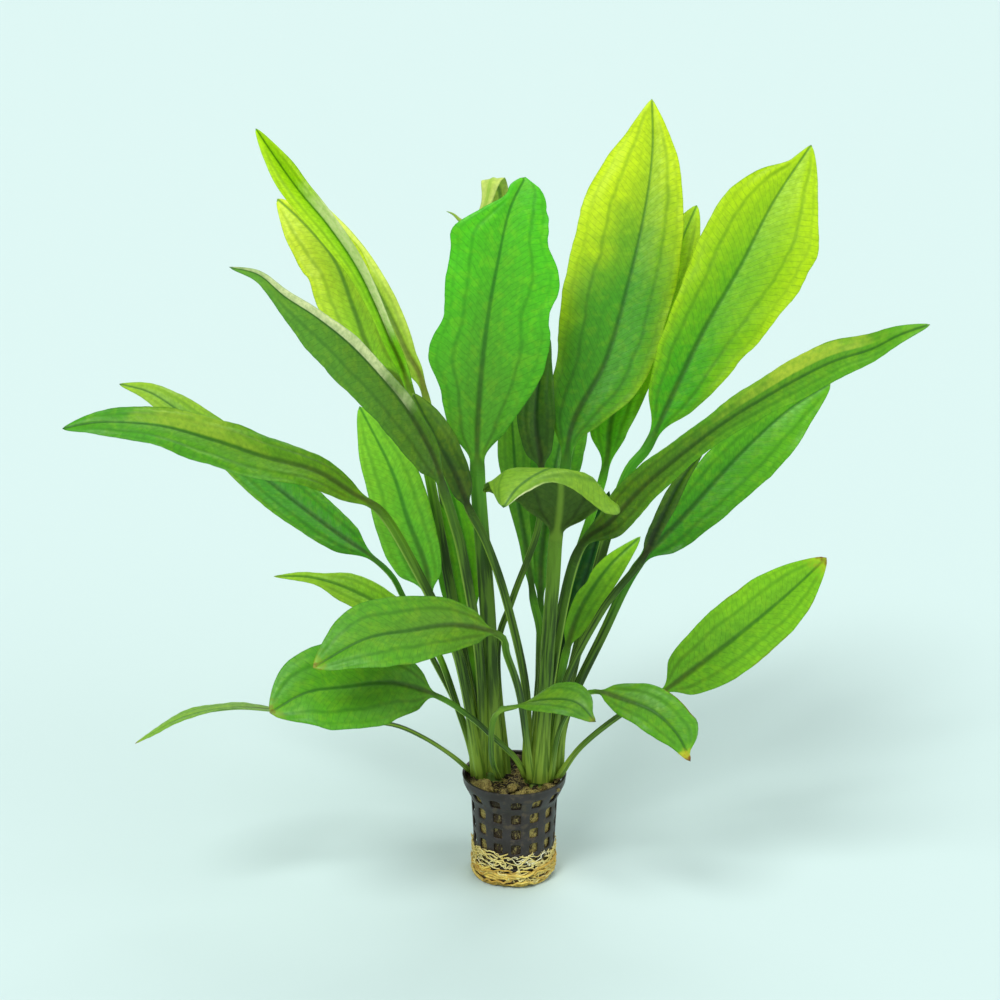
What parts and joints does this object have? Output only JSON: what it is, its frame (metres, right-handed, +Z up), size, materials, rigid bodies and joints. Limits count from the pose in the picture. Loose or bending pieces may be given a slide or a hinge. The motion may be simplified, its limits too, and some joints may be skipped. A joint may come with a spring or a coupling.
{
  "type": "potted amazon sword plant",
  "caption": "Freshwater aquarium plant with long-stalked lance-shaped leaves, rooted in a small black basket pot; stands on its flat base.",
  "frame": {"origin": "centre of the flat underside on which the potted plant rests", "axes": "+Z up along the pot's axis; the plant's broadside faces -Y; +X is to the right in that view"},
  "size_m": [0.406, 0.2156, 0.398],
  "materials": {
    "pot_plastic": "black moulded plastic with a soft sheen",
    "soil_plug": "rough olive-brown clumps of peat and mineral wool",
    "roots": "matt yellow-tan roots",
    "crown": "pale green-yellow plant tissue",
    "leaf_yellow_green": "yellow-green leaf with green veins, thin and translucent, soft sheen",
    "leaf_pale_green": "pale yellow-green leaf, soft sheen",
    "leaf_bright_green": "bright green leaf, soft sheen",
    "leaf_mid_green": "mid-green leaf with darker veins, soft sheen",
    "leaf_olive_green": "olive-green leaf with darker veins and browned margins, soft sheen",
    "leaf_dark_green": "dark green leaf in shade, soft sheen"
  },
  "bodies": {
    "root": {"net_pot": "pot_plastic", "substrate": "soil_plug", "root_mat": "roots", "crown_left": "crown", "crown_right": "crown", "leaf_folded_upper_left": "leaf_mid_green", "leaf_pale_upper_left": "leaf_pale_green", "leaf_pale_behind_left": "leaf_pale_green", "leaf_long_left": "leaf_olive_green", "leaf_arch_left": "leaf_olive_green", "leaf_back_arch_left": "leaf_mid_green", "leaf_bright_left": "leaf_mid_green", "leaf_slim_left_high": "leaf_bright_green", "leaf_slim_left_low": "leaf_mid_green", "leaf_dark_leaning_left": "leaf_dark_green", "leaf_broad_centre": "leaf_olive_green", "leaf_hooked_behind": "leaf_pale_green", "leaf_tall": "leaf_pale_green", "leaf_wide_right": "leaf_yellow_green", "leaf_between_tall": "leaf_pale_green", "leaf_arching_front": "leaf_pale_green", "leaf_reaching_right": "leaf_dark_green", "leaf_long_right": "leaf_mid_green", "leaf_shadow_right": "leaf_dark_green", "leaf_slim_right": "leaf_pale_green", "leaf_low_right": "leaf_mid_green", "leaf_drooping_right": "leaf_mid_green", "leaf_small_front": "leaf_olive_green", "leaf_low_left_upper": "leaf_olive_green", "leaf_low_left_lower": "leaf_olive_green", "leaf_edge_on_left": "leaf_olive_green", "leaf_pointed_left": "leaf_mid_green", "leaf_dark_behind": "leaf_dark_green", "leaf_bright_behind": "leaf_bright_green", "leaf_back_centre": "leaf_mid_green", "leaf_blue_green_behind": "leaf_dark_green"}
  },
  "joints": []
}
